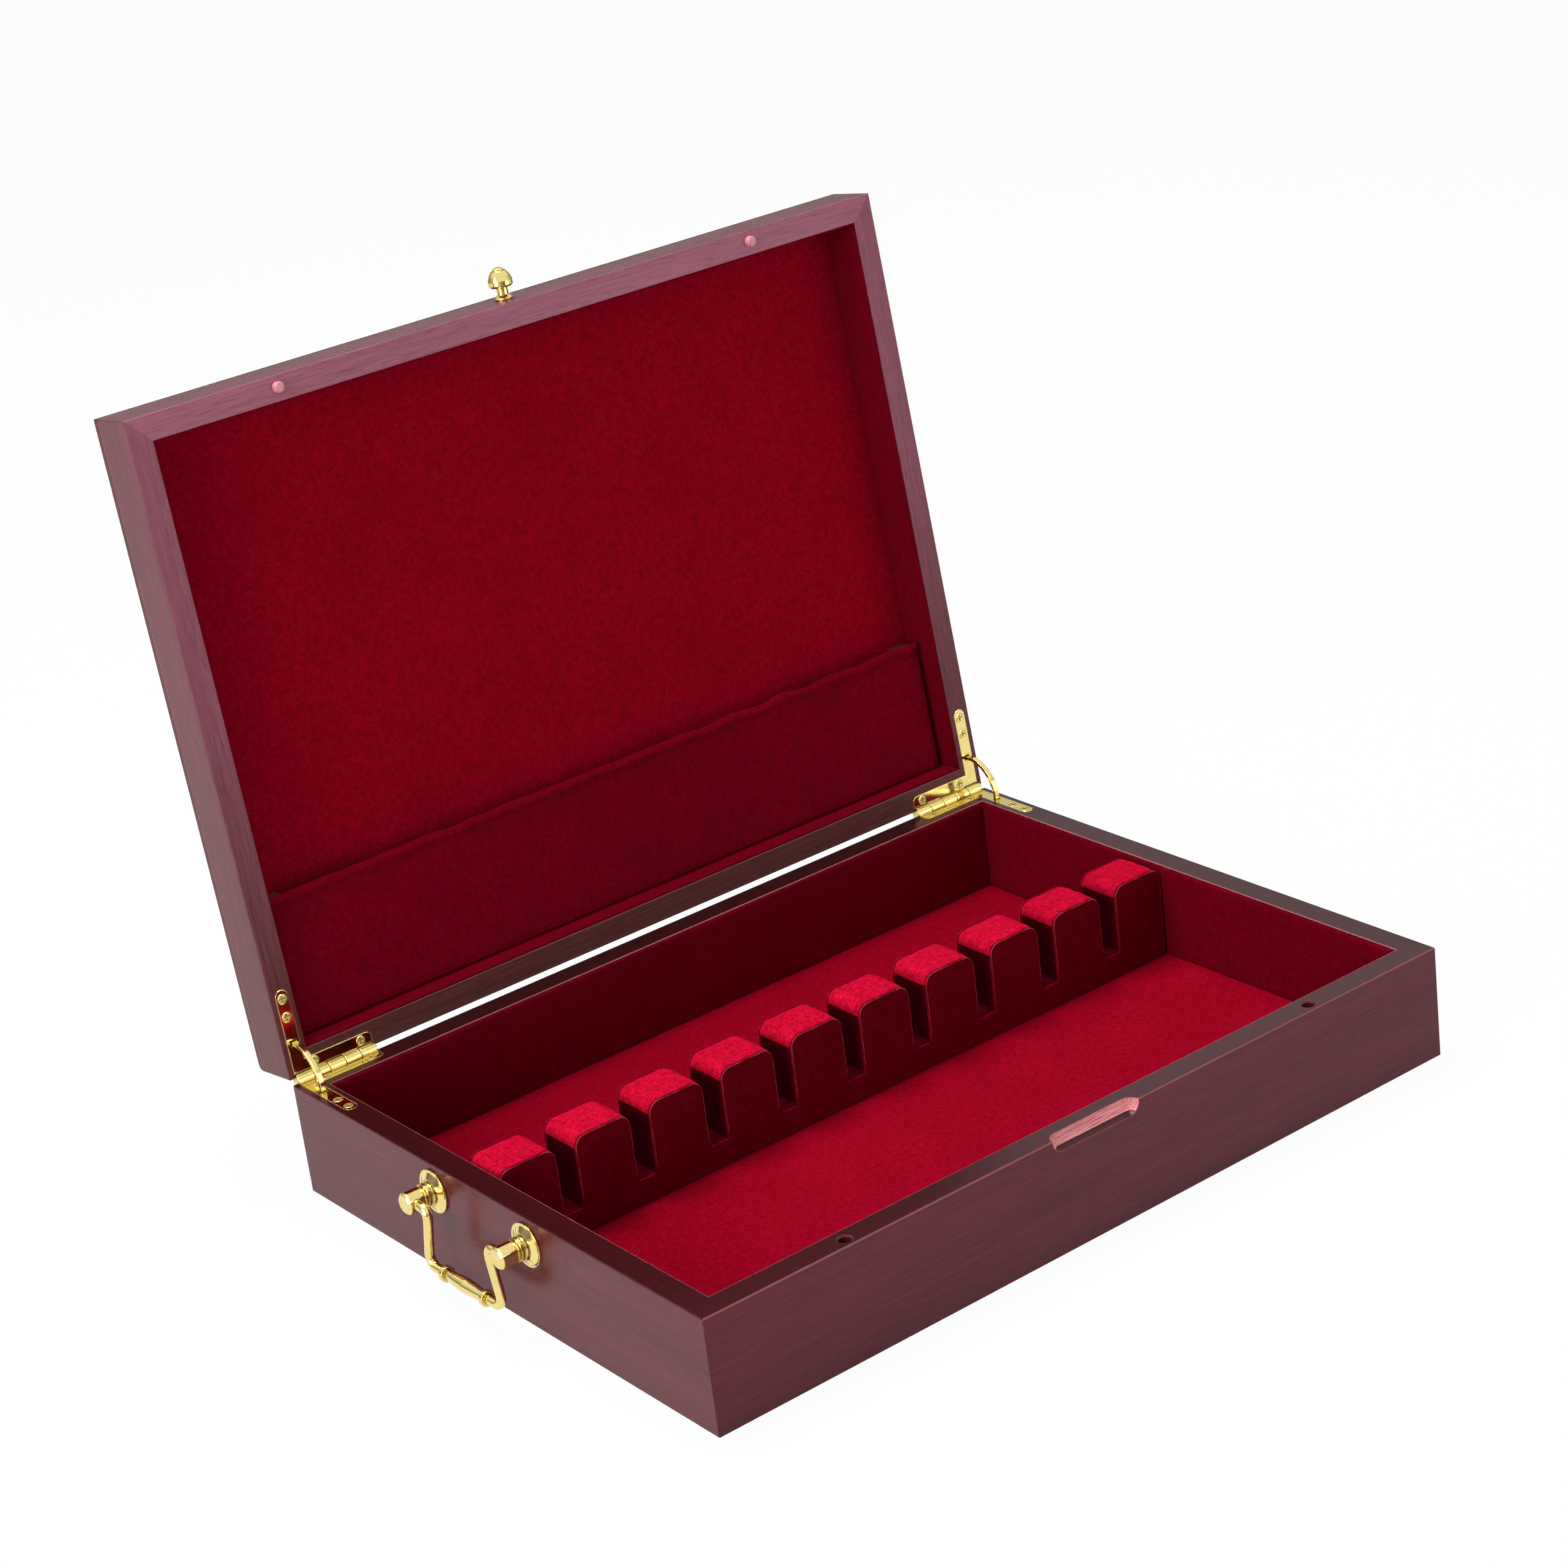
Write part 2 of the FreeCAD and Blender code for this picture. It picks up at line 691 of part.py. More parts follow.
def make_lid():
    block = lid_block()
    panel_slab = box(-case_width, case_width, -case_depth, case_depth, lid_panel_under, lid_top + overshoot)
    save_lid(block.common(panel_slab), "lid_top_panel")
    frame = block.cut(panel_slab)
    frame = frame.cut(box(-lid_inner_x, lid_inner_x, -lid_inner_y, lid_inner_y,
                          lid_rim - overshoot, lid_top))
    frame = rounded_inner_edges(frame, lid_inner_x, lid_inner_y, lid_rim)
    cutters = lid_screws + [knob_screw()]
    for side, sign in SIDES.items():
        cutters.append(leaf_plate(sign, lid_rim - overshoot, lid_leaf_high, leaf_joint))
        cutters.append(stay_mortise(sign, -mortise_mouth, mortise_end))
        cutters.append(barrel_room(sign))
        cutters.append(peg(sign, peg_depth))
        save_lid(peg(sign, peg_depth), side + "_locating_peg")
    frame = without(frame, cutters)
    for name, sector in mitre_sectors(lid_wall, lid_rim, lid_top).items():
        save_lid(frame.common(sector), "lid_" + name + "_rail")
    save_lid(knob(), "lid_knob")
    save_lid(knob_screw(), "knob_screw")


def make_lid_lining():
    ceiling = lid_panel_under - lining
    save_lid(box(-lid_inner_x, lid_inner_x, -lid_inner_y, lid_inner_y, ceiling, lid_panel_under),
             "lid_top_lining")
    for name, strip in wall_linings(lid_inner_x, lid_inner_y, lid_rim + lining_drop, ceiling).items():
        save_lid(strip, "lid_" + name + "_lining")
    half = lid_inner_x - lining - pocket_end_gap
    back = lid_inner_y - lining - pocket_back_gap
    front = back - pocket_length
    low = ceiling - pocket_depth
    save_lid(box(-half, half, front, back, low - pocket_panel_thickness, low), "pocket_panel")
    edge = half - batten_setback
    heel = back - batten_width
    save_lid(box(-edge, edge, heel, back, low, ceiling), "pocket_bottom_batten")
    for side, sign in SIDES.items():
        save_lid(box(sign * edge, sign * (edge - batten_width), front + batten_setback, heel, low, ceiling),
                 "pocket_" + side + "_batten")


os.makedirs("parts", exist_ok=True)
make_base()
make_rack()
make_hinges()
make_handles()
make_lid()
make_lid_lining()
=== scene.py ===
import json
import math

import bmesh
import bpy
from mathutils import Matrix, Vector, noise


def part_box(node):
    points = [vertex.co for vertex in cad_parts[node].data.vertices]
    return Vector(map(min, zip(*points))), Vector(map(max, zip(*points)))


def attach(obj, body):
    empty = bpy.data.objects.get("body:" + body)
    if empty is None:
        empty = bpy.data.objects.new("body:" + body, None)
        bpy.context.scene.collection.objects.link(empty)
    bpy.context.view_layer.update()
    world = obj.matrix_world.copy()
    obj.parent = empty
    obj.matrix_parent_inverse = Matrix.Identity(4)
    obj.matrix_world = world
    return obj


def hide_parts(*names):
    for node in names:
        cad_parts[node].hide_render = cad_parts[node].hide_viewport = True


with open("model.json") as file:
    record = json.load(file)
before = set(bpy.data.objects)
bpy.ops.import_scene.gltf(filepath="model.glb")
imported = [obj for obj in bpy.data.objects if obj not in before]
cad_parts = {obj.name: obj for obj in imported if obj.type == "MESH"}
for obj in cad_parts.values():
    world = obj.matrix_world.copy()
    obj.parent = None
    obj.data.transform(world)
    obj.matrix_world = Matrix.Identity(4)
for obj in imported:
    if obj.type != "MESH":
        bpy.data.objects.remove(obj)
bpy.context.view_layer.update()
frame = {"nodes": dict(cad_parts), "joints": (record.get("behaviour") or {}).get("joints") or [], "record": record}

# Hinged wooden case, standing open: lacquered mahogany, brass fittings and crimson velvet.
# Metres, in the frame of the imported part. The lid's soft pieces are made closed and then opened.

NODES = frame["nodes"]
JOINTS = {joint["name"]: joint for joint in frame["joints"]}
MM = 0.001
WALLS = ("front", "back", "left", "right")
SIDES = ("left", "right")
BATTENS = ("pocket_bottom_batten", "pocket_left_batten", "pocket_right_batten")

# The lid's turn about its hinge
HINGE = Vector(JOINTS["lid_hinge"]["pos_m"])
OPEN_ANGLE = math.radians(JOINTS["lid_hinge"]["range_deg"][1])
OPENED = Matrix.Translation(HINGE) @ Matrix.Rotation(-OPEN_ANGLE, 4, "X") @ Matrix.Translation(-HINGE)
CLOSED = OPENED.inverted()
AT_REST = Matrix.Identity(4)

# Slotted rack: its comb, the fuzzy cover of its posts, and its facings
RACK_SLOTS = 9
SLOT_WIDTH = 9.8 * MM
SLOT_RISE = 11.2 * MM
POST_ROUND = 5.0 * MM
ROUND_STEPS = 8
POST_CROWN = 0.5 * MM
CROWN_FLATNESS = 4
COVER_STEP = 1.0 * MM
FUZZ_SIZE = 1.6 * MM
FUZZ_DEPTH = 0.16 * MM
FACING_STEP = 2.0 * MM
FACING_ROLL = 0.32 * MM
FACING_STRAY = 0.12 * MM
FACING_STRAY_SIZE = 4.0 * MM
PALE_EDGE_START = 4.0 * MM

# Cloth: its mesh and ripples, and its rolled edge as shares of the thickness and of the roll
CLOTH_STEP = 3.0 * MM
WAVE_SIZE = 45 * MM
WAVE_DEPTH = 0.25 * MM
WAVE_SINK = 0.5
ROLL_SHARE = 0.7
ROLL_START = 0.3

# The pocket's mouth: its wave, its turned hem, and where seam and finer mesh end, in widths of the hem
MOUTH_WAVE = 1.3 * MM
MOUTH_WAVE_RATE = 3
HEM_WIDTH = 4.0 * MM
HEM_RISE = 0.7 * MM
HEM_ROWS = 12
SEAM_SHARE = 0.5
SEAM_END = 1.5
HEM_MESH_END = 1.6
PLAIN_MESH_START = 1.7

# Seeds of the ripples, of which the walls take four each
FLOOR_SEED = 1
TOP_SEED = 2
BASE_SEED = 3
LID_SEED = 8
POCKET_SEED = 21
MOUTH_SEED = 28

# Textures: scale, detail and roughness
BANDS = (90, 3, 0.55)
STREAKS = (900, 2, 0.6)
PORES = (2600, 1, 0.5)
TUFTS = (420, 3, 0.75)
FINE_FUZZ = (1300, 3, 0.7)
PATCHES = (30, 3, 0.6)
LUSTRE = (160, 3, 0.6)
DRAWN_MARKS = (3000, 2, 0.5)
PEG_SPECKS = (2200, 3, 0.6)
SAWN_SPECKS = (400, 3, 0.6)
FLOOR_CLOUDS = (3, 2, 0.5)
GRAIN_STRETCH = 0.045
MARK_STRETCH = 0.1

# Levels of the textures between which one tone turns into the other
BAND_STOPS = (0.3, 0.72)
STREAK_STOPS = (0.35, 0.65)
PORE_STOPS = (0.3, 0.4)
NOTCH_STOPS = (0.3, 0.7)
PILE_STOPS = (0.38, 0.62)
SPECK_STOPS = (0.35, 0.6)

# Bumps: height and strength
GRAIN_BUMP = (0.05 * MM, 0.15)
PILE_BUMP = (0.9 * MM, 0.4)
MARK_BUMP = (0.01 * MM, 0.15)
SPECK_BUMP = (0.08 * MM, 0.4)

# Wood: painted light on each piece and on the lid's rims, painted shade on the base's rim tops, painted highlights
# along the edges, the grain and the lacquer
PIECE_PAINTED_LIGHT = {"base_front_wall": 0.07, "base_left_wall": 0.04, "lid_front_rail": 0.2, "lid_left_rail": 0.2,
          "lid_right_rail": 0.12}
LID_RIM_PAINTED_LIGHT = {"front": 0.62, "back": 0.65, "left": 0.38, "right": 0.48}
BASE_RIM_PAINTED_SHADE = 0.75
BROWN_END = 140 * MM
PINK_START = -20 * MM
BROWN_SHARE = 0.55
RIM_DEPTH = 0.3 * MM
EDGE_HIGHLIGHT_WIDTH = 0.6 * MM
EDGE_HIGHLIGHT_FACING = (0.98, 0.85)
EDGE_HIGHLIGHT_STRENGTH = 0.55
MITRE_CLEAR = 1.2 * MM
HIGHLIGHT_LINE_WIDTH = 0.5 * MM
INNER_HIGHLIGHT_SHARE = 0.9
OUTER_HIGHLIGHT_SHARE = 0.5
STREAK_SHARE = 0.45
PORE_SHARE = 0.35
PORE_DENT = -0.6
LACQUER_ROUGHNESS = (0.22, 0.28)
LACQUER_GLOSS = 0.36

# Velvet: shares of tufts, of fuzz and of the dark patches
TUFT_SHARE = 0.55
FUZZ_SHARE = 0.45
PATCH_SHARE = 0.7

# Brass: how far its edges are softened, and how near and how shut in the hollows are that take painted shade
EDGE_SOFT = 0.6 * MM
SHADE_DISTANCE = 4.0 * MM
SHADE_STOPS = (0.3, 0.85)

# Finger notch in the front rim: bare wood above a darker floor, painted just inside the wall's faces
NOTCH_HALF = 22.6 * MM
NOTCH_DEPTH = 5.0 * MM
NOTCH_HEIGHT = 6.0 * MM
NOTCH_BARE = 4.6 * MM
NOTCH_SKIN = 0.1 * MM

# Light: the floor, how white it is to the camera and in reflections, and the world's levels
FLOOR_RADIUS = 14
FLOOR_SIDES = 64
FLOOR_WHITE_SEEN = 0.95
FLOOR_WHITE_MIRRORED = 0.82
WORLD_SEEN = 0.96
WORLD_LEVEL = 0.28
HORIZON_MIRRORED = 0.08
SKY_MIRRORED = 1.0
SKY_HEIGHT = 0.6

# Lamps: name, place, target, size and power
LAMPS = (
    ("overhead", (-0.1, 0.35, 1.9), (0, 0.02, 0.05), 0.9, 33),
    ("left_fill", (-2.0, -0.3, 0.8), (0, 0, 0.1), 1.4, 30),
    ("front_fill", (1.2, -2.0, 0.4), (0, 0, 0.15), 1.4, 12),
)

# Camera, from the photograph's perspective
CAMERA_PLACE = Vector((-0.80411, -1.08387, 0.71215))
CAMERA_RIGHT = Vector((0.77776, -0.61779, -0.11576))
CAMERA_UP = Vector((0.32207, 0.2336, 0.91744))
CAMERA_LENS = 83.72
CAMERA_SENSOR = 36.0
CAMERA_REACH = 50


def closed_box(node):
    """Box of one of the lid's nodes with the lid closed."""
    points = [CLOSED @ vertex.co for vertex in NODES[node].data.vertices]
    low = Vector([min(point[axis] for point in points) for axis in range(3)])
    high = Vector([max(point[axis] for point in points) for axis in range(3)])
    return low, high


# Materials

def linear(red, green, blue):
    """Scene-linear colour of an sRGB colour given in 0 to 255."""
    def channel(value):
        value /= 255
        return value / 12.92 if value <= 0.04045 else ((value + 0.055) / 1.055) ** 2.4
    return (channel(red), channel(green), channel(blue), 1)


WHITE = (1, 1, 1, 1)
BLACK = (0, 0, 0, 1)
BAND_TONES = linear(64, 15, 18), linear(88, 23, 27)
STREAK_TONES = linear(62, 14, 16), linear(82, 22, 26)
# Painted light on the wood: pink, turning brown toward the lid's hinge
PAINTED_LIGHT_PINK = linear(150, 92, 108)
PAINTED_LIGHT_BROWN = linear(112, 82, 74)
PORE_TONE = linear(28, 8, 9)
# Painted shade on the base's rim tops
RIM_SHADE_TONE = linear(34, 7, 8)
# Painted highlights along the wood's edges and along the rims
EDGE_HIGHLIGHT_TONE = linear(196, 104, 112)
HIGHLIGHT_LINE_TONE = linear(206, 122, 126)
NOTCH_DARK_TONE = linear(50, 22, 18)
NOTCH_TONES = linear(178, 96, 94), linear(236, 156, 154)
LACQUER_TINT = linear(255, 178, 200)
SHEEN_TINT = linear(255, 14, 64)
BRASS_TONES = linear(226, 200, 114), linear(246, 228, 156)
# Painted shade in the brass's hollows
BRASS_PAINTED_SHADE = linear(120, 78, 24)
FLOOR_TONES = linear(238, 238, 238), linear(244, 244, 244)


class Nodes:
    """Short way to add and link the nodes of one material."""

    def __init__(self, name):
        self.material = bpy.data.materials.new(name)
        self.material.use_nodes = True
        self.tree = self.material.node_tree
        self.shader = self.tree.nodes["Principled BSDF"]

    def add(self, kind, **inputs):
        node = self.tree.nodes.new("ShaderNode" + kind)
        for name, value in inputs.items():
            self.feed(value, node.inputs[name.replace("_", " ")])
        return node

    def feed(self, value, socket):
        if isinstance(value, bpy.types.NodeSocket):
            self.tree.links.new(value, socket)
        else:
            socket.default_value = value

    def set(self, **inputs):
        for name, value in inputs.items():
            self.feed(value, self.shader.inputs[name.replace("_", " ")])

    def math(self, operation, first, second=0.0):
        node = self.tree.nodes.new("ShaderNodeMath")
        node.operation = operation
        self.feed(first, node.inputs[0])
        self.feed(second, node.inputs[1])
        return node.outputs[0]

    def mix(self, factor, first, second):
        node = self.tree.nodes.new("ShaderNodeMix")
        node.data_type = "RGBA"
        self.feed(factor, node.inputs[0])
        self.feed(first, node.inputs[6])
        self.feed(second, node.inputs[7])
        return node.outputs[2]

    def ramp(self, value, stops, tones):
        """One tone turning into another between two levels of a value."""
        node = self.tree.nodes.new("ShaderNodeValToRGB")
        self.feed(value, node.inputs[0])
        for element, stop, tone in zip(node.color_ramp.elements, stops, tones):
            element.position = stop
            element.color = tone
        return node.outputs[0]

    def span(self, value, low, high):
        """A value from 0 to 1, spread from low to high."""
        node = self.add("MapRange", Value=value)
        node.inputs[3].default_value = low
        node.inputs[4].default_value = high
        return node.outputs[0]

    def share(self, value, start, end):
        """0 up to the start, rising to 1 at the end."""
        return self.add("MapRange", Value=value, From_Min=start, From_Max=end).outputs[0]

    def product(self, first, *others):
        """Product of several masks or shares."""
        for other in others:
            first = self.math("MULTIPLY", first, other)
        return first

    def place(self, turn=0.0, stretch=(1, 1, 1)):
        """Coordinates fixed to the piece, those of the lid as it lies closed, and then stretched."""
        coordinates = self.add("TexCoord").outputs["Object"]
        shift = CLOSED.translation if turn else (0, 0, 0)
        turned = self.add("Mapping", Vector=coordinates, Location=shift, Rotation=(turn, 0, 0))
        return self.add("Mapping", Vector=turned.outputs[0], Scale=stretch).outputs[0]

    def noise(self, vector, scale, detail, roughness):
        return self.add("TexNoise", Vector=vector, Scale=scale, Detail=detail, Roughness=roughness).outputs[0]

    def edge_highlight(self, radius):
        """Mask of painted edge highlights: 1 along sharp edges, fading to 0 on open faces."""
        rounded = self.add("Bevel", Radius=radius).outputs[0]
        facing = self.tree.nodes.new("ShaderNodeVectorMath")
        facing.operation = "DOT_PRODUCT"
        self.feed(rounded, facing.inputs[0])
        self.feed(self.add("NewGeometry").outputs["Normal"], facing.inputs[1])
        return self.share(facing.outputs["Value"], *EDGE_HIGHLIGHT_FACING)

    def bump(self, height, distance, strength, normal=None):
        node = self.add("Bump", Height=height, Distance=distance, Strength=strength)
        if normal:
            self.feed(normal, node.inputs["Normal"])
        self.feed(node.outputs[0], self.shader.inputs["Normal"])


def notch_mask(nodes, height):
    """1 in the finger notch down to a depth below the rim, and 0 elsewhere."""
    low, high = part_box("base_front_wall")
    parts = nodes.add("SeparateXYZ", Vector=nodes.add("TexCoord").outputs["Object"]).outputs
    inside = nodes.math("LESS_THAN", nodes.math("ABSOLUTE", parts[0]), NOTCH_HALF)
    for axis, limit, side in ((1, low.y + NOTCH_SKIN, "GREATER_THAN"), (1, low.y + NOTCH_DEPTH, "LESS_THAN"),
                              (2, high.z - height, "GREATER_THAN"), (2, high.z - NOTCH_SKIN, "LESS_THAN")):
        inside = nodes.product(inside, nodes.math(side, parts[axis], limit))
    return inside


def inset(nodes, turn):
    """How far in from the case's sides, how far in from its front and back, and the place itself."""
    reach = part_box("base_right_wall")[1].x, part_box("base_back_wall")[1].y
    parts = nodes.add("SeparateXYZ", Vector=nodes.place(turn)).outputs
    across, deep = (nodes.math("SUBTRACT", limit, nodes.math("ABSOLUTE", part))
                    for limit, part in zip(reach, parts))
    return across, deep, parts


def near(nodes, value, target, reach):
    """1 where a value is near a target, and 0 elsewhere."""
    away = nodes.math("ABSOLUTE", nodes.math("SUBTRACT", value, target))
    return nodes.math("LESS_THAN", away, reach)


def mahogany(node, along, turn=0.0, rim_level=0.0, rim_shade=0.0, rim_painted_light=0.0):
    """Dark stained mahogany under satin lacquer, with its grain along one axis of the closed case, and with
    painted light, painted shade and painted highlights.
    """
    nodes = Nodes(node + "_mahogany")
    stretch = [1.0, 1.0, 1.0]
    stretch["xyz".index(along)] = GRAIN_STRETCH
    grain = nodes.place(turn, stretch)
    bands = nodes.noise(grain, *BANDS)
    streaks = nodes.noise(grain, *STREAKS)
    pores = nodes.noise(grain, *PORES)
    tone = nodes.ramp(bands, BAND_STOPS, BAND_TONES)
    fine = nodes.ramp(streaks, STREAK_STOPS, STREAK_TONES)
    colour = nodes.mix(STREAK_SHARE, tone, fine)
    pore = nodes.ramp(pores, PORE_STOPS, (WHITE, BLACK))
    across, deep, parts = inset(nodes, turn)
    height = parts[2]
    rim = near(nodes, height, rim_level, RIM_DEPTH)

    # Painted light, browner and weaker toward the lid's hinge
    pale = nodes.math("ADD", nodes.product(rim, rim_painted_light), PIECE_PAINTED_LIGHT.get(node, 0.0))
    pale = nodes.product(nodes.math("ADD", streaks, bands), pale)
    tint = PAINTED_LIGHT_PINK
    if turn:
        fade = nodes.share(parts[1], BROWN_END, PINK_START)
        pale = nodes.product(pale, nodes.span(fade, BROWN_SHARE, 1.0))
        tint = nodes.mix(fade, PAINTED_LIGHT_BROWN, tint)
    colour = nodes.mix(pale, colour, tint)
    colour = nodes.mix(nodes.product(pore, PORE_SHARE), colour, PORE_TONE)
    # Painted shade on the rim tops
    colour = nodes.mix(nodes.product(rim, rim_shade), colour, RIM_SHADE_TONE)

    # Painted highlights along the edges, but not along the mitres
    off_mitre = nodes.math("SUBTRACT", 1.0, near(nodes, across, deep, MITRE_CLEAR))
    colour = nodes.mix(nodes.product(nodes.edge_highlight(EDGE_HIGHLIGHT_WIDTH), off_mitre, EDGE_HIGHLIGHT_STRENGTH), colour, EDGE_HIGHLIGHT_TONE)
    if rim_shade:
        # Painted highlight line along the base rim's inner edge
        low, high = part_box("base_front_wall")
        inner = near(nodes, nodes.math("MINIMUM", across, deep), high.y - low.y, HIGHLIGHT_LINE_WIDTH)
        colour = nodes.mix(nodes.product(rim, inner, bands, INNER_HIGHLIGHT_SHARE), colour, HIGHLIGHT_LINE_TONE)
    if node == "base_front_wall":
        # Painted highlight line along the front wall's outer top edge
        outer = nodes.product(near(nodes, deep, 0.0, HIGHLIGHT_LINE_WIDTH), near(nodes, height, rim_level, HIGHLIGHT_LINE_WIDTH))
        colour = nodes.mix(nodes.product(outer, bands, OUTER_HIGHLIGHT_SHARE), colour, HIGHLIGHT_LINE_TONE)
        # Darker notch floor, with bare wood above it
        colour = nodes.mix(notch_mask(nodes, NOTCH_HEIGHT), colour, NOTCH_DARK_TONE)
        specks = nodes.ramp(pores, NOTCH_STOPS, NOTCH_TONES)
        colour = nodes.mix(notch_mask(nodes, NOTCH_BARE), colour, specks)
    nodes.set(Base_Color=colour, Roughness=nodes.span(streaks, *LACQUER_ROUGHNESS),
              Specular_IOR_Level=LACQUER_GLOSS, Specular_Tint=LACQUER_TINT)
    nodes.bump(nodes.math("ADD", streaks, nodes.product(pore, PORE_DENT)), *GRAIN_BUMP)
    return nodes.material


def velvet(name, dark, light, sheen):
    """Crimson pile: tufts and fine fuzz over soft brushed patches, with a tinted sheen."""
    nodes = Nodes(name)
    place = nodes.place()
    tufts = nodes.noise(place, *TUFTS)
    fuzz = nodes.noise(place, *FINE_FUZZ)
    patches = nodes.noise(place, *PATCHES)
    flecks = nodes.math("ADD", nodes.product(tufts, TUFT_SHARE), nodes.product(fuzz, FUZZ_SHARE))
    pile = nodes.ramp(flecks, PILE_STOPS, (dark, light))
    colour = nodes.mix(nodes.span(patches, 0.0, PATCH_SHARE), pile, dark)
    nodes.set(Base_Color=colour, Roughness=0.95, Specular_IOR_Level=0.02, Sheen_Weight=sheen,
              Sheen_Roughness=0.45, Sheen_Tint=SHEEN_TINT)
    nodes.bump(flecks, *PILE_BUMP)
    return nodes.material


def brass(name, smooth, rough):
    """Brass with faint drawn marks, a little uneven lustre and painted shade in its hollows."""
    nodes = Nodes(name)
    lustre = nodes.noise(nodes.place(), *LUSTRE)
    marks = nodes.noise(nodes.place(0.0, (1, 1, MARK_STRETCH)), *DRAWN_MARKS)
    openness = nodes.add("AmbientOcclusion", Distance=SHADE_DISTANCE).outputs["AO"]
    colour = nodes.mix(lustre, *BRASS_TONES)
    # Painted shade in the hollows
    colour = nodes.mix(nodes.share(openness, *SHADE_STOPS), BRASS_PAINTED_SHADE, colour)
    nodes.set(Base_Color=colour, Metallic=1.0, Roughness=nodes.span(lustre, smooth, rough))
    nodes.bump(marks, *MARK_BUMP, nodes.add("Bevel", Radius=EDGE_SOFT).outputs[0])
    return nodes.material


def bare_wood(name, dark, light, texture):
    """Plain unlacquered wood with specks."""
    nodes = Nodes(name)
    specks = nodes.noise(nodes.place(), *texture)
    nodes.set(Base_Color=nodes.ramp(specks, SPECK_STOPS, (dark, light)), Roughness=0.55)
    nodes.bump(specks, *SPECK_BUMP)
    return nodes.material


FLOOR_VELVET = velvet("crimson_floor_velvet", linear(116, 1, 19), linear(176, 5, 40), 0.4)
POCKET_VELVET = velvet("crimson_pocket_velvet", linear(92, 1, 17), linear(140, 2, 33), 0.3)
VELVET = velvet("crimson_velvet", linear(112, 1, 18), linear(168, 3, 37), 0.35)
# Darker copy of the velvet for upright faces: painted shade
SHADED_VELVET = velvet("crimson_velvet_painted_shade", linear(84, 1, 14), linear(124, 2, 28), 0.3)
# Much darker copy of the velvet for the slots: painted shade
DEEP_SHADED_VELVET = velvet("crimson_velvet_painted_deep_shade", linear(40, 1, 8), linear(92, 2, 20), 0.15)
# Brighter copy of the velvet for the post tops: painted light
LIT_VELVET = velvet("crimson_velvet_painted_light", linear(140, 3, 26), linear(240, 22, 66), 0.6)
# Paler velvet along the posts' rolled edges
PALE_EDGE_VELVET = velvet("crimson_pale_edge_velvet", linear(140, 34, 42), linear(186, 76, 78), 0.3)
BRASS = brass("polished_brass", 0.06, 0.14)
SCREW_BRASS = brass("satin_brass", 0.28, 0.4)
PEG_WOOD = bare_wood("peg_end_grain", linear(178, 96, 108), linear(222, 152, 160), PEG_SPECKS)
CORE_WOOD = bare_wood("plain_core_wood", linear(150, 112, 76), linear(196, 158, 118), SAWN_SPECKS)
BATTEN_WOOD = bare_wood("stained_batten_wood", linear(62, 5, 12), linear(92, 9, 19), SAWN_SPECKS)


def paint(node, material):
    slots = NODES[node].data.materials
    slots.clear()
    slots.append(material)


def paint_wood():
    base_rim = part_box("base_front_wall")[1].z
    lid_rim = closed_box("lid_front_rail")[0].z
    for wall in WALLS:
        along = "x" if wall in ("front", "back") else "y"
        node = f"base_{wall}_wall"
        paint(node, mahogany(node, along, 0.0, base_rim, rim_shade=BASE_RIM_PAINTED_SHADE))
        node = f"lid_{wall}_rail"
        paint(node, mahogany(node, along, OPEN_ANGLE, lid_rim, rim_painted_light=LID_RIM_PAINTED_LIGHT[wall]))
    for node, turn in (("base_bottom_panel", 0.0), ("lid_top_panel", OPEN_ANGLE)):
        paint(node, mahogany(node, "x", turn))
    paint("rack_core", CORE_WOOD)
    for node in BATTENS:
        paint(node, BATTEN_WOOD)
    for side in SIDES:
        paint(side + "_locating_peg", PEG_WOOD)


def paint_brass():
    slots = {entry["node"]: entry["material_slot"] for entry in frame["record"]["subparts"]}
    for node, slot in slots.items():
        if slot == "brass":
            paint(node, SCREW_BRASS if node.endswith("hinge_screws") else BRASS)


# Soft pieces

def add_piece(mesh, name, place, materials):
    """Smooth object made from a mesh that is first moved into place."""
    mesh.transform(place)
    bmesh.ops.recalc_face_normals(mesh, faces=mesh.faces)
    data = bpy.data.meshes.new(name)
    mesh.to_mesh(data)
    mesh.free()
    for material in materials:
        data.materials.append(material)
    for polygon in data.polygons:
        polygon.use_smooth = True
    piece = bpy.data.objects.new(name, data)
    bpy.context.scene.collection.objects.link(piece)
    return piece


def ripple(u, v, seed):
    """Soft uneven height of glued cloth, from -1 to 1."""
    return noise.noise(Vector((u / WAVE_SIZE, v / WAVE_SIZE, seed)))


def steps(length, size):
    """How many steps of about one size make up a length."""
    return max(2, round(length / size))


def grid_face(mesh, rows):
    """Faces between neighbouring rows of vertices."""
    for row, after in zip(rows, rows[1:]):
        for a, b, c, d in zip(row, row[1:], after[1:], after):
            mesh.faces.new((a, b, c, d))


def hem(distance):
    """Height of a turned hem and of the seam behind it, by the distance in from the edge."""
    widths = distance / HEM_WIDTH
    if widths < 1:
        return HEM_RISE * math.sin(math.pi * widths)
    if widths < SEAM_END:
        return -SEAM_SHARE * HEM_RISE * math.sin(math.pi * (widths - 1) / (SEAM_END - 1))
    return 0.0


